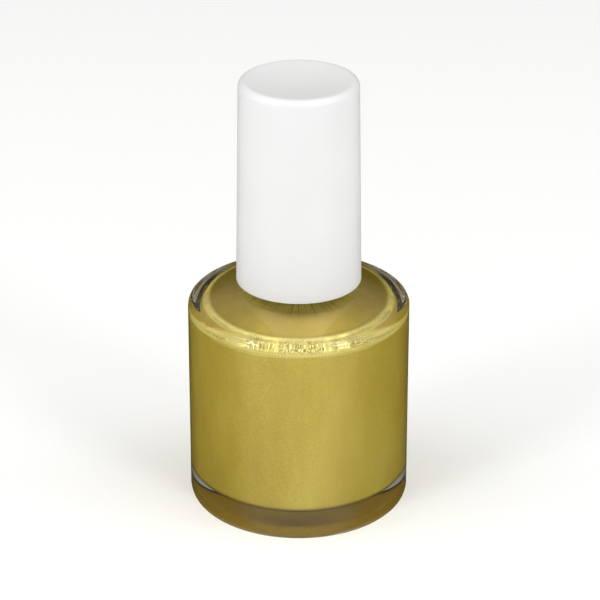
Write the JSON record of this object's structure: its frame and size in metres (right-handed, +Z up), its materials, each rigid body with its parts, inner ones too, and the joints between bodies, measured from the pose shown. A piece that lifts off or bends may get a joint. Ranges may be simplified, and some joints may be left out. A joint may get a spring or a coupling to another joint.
{
  "type": "nail polish bottle",
  "caption": "Small round glass bottle of lacquer with a tall white screw cap that carries the brush.",
  "frame": {"origin": "centre of the bottle's base, on the plane that it stands on", "axes": "+Z up along the axis of the bottle, neck and cap; +X and +Y lie in the base plane, and the front is -Y"},
  "size_m": [0.03, 0.03, 0.0612],
  "materials": {
    "clear_glass": "fire polished",
    "gold_lacquer": "pearlescent metallic gold liquid",
    "white_cap": "moulded semi-gloss white polypropylene",
    "natural_plastic": "moulded natural polyethylene",
    "liner_foam": "closed-cell foam",
    "steel": "polished stainless steel",
    "bristle": "nylon filament wet with lacquer"
  },
  "bodies": {
    "bottle": {"glass_bottle": "clear_glass", "lacquer": "gold_lacquer", "lacquer_film": "gold_lacquer", "mixing_ball_1": "steel", "mixing_ball_2": "steel"},
    "seal": {"sealing_washer": "liner_foam"},
    "coat": {"rod_coat": "gold_lacquer"},
    "cap": {"overcap": "white_cap", "inner_cap": "natural_plastic", "brush_rod": "natural_plastic", "tuft_anchor": "steel", "bristle_tuft": "bristle"}
  },
  "joints": [
    {"name": "brush_withdraw", "type": "slide", "parent": "bottle", "child": "seal", "axis": [0, 0, 1], "range_m": [0, 0.045]},
    {"name": "thread_rise", "type": "slide", "parent": "seal", "child": "coat", "axis": [0, 0, 1], "range_m": [0, 0.00425]},
    {"name": "cap_turn", "type": "hinge", "parent": "coat", "child": "cap", "pos_m": [0, 0, 0.043], "axis": [0, 0, 1], "range_deg": [0, 720]}
  ],
  "couplings": [
    {"joint": "thread_rise", "follows": "cap_turn", "m_per_rad": 0.00033741}
  ]
}
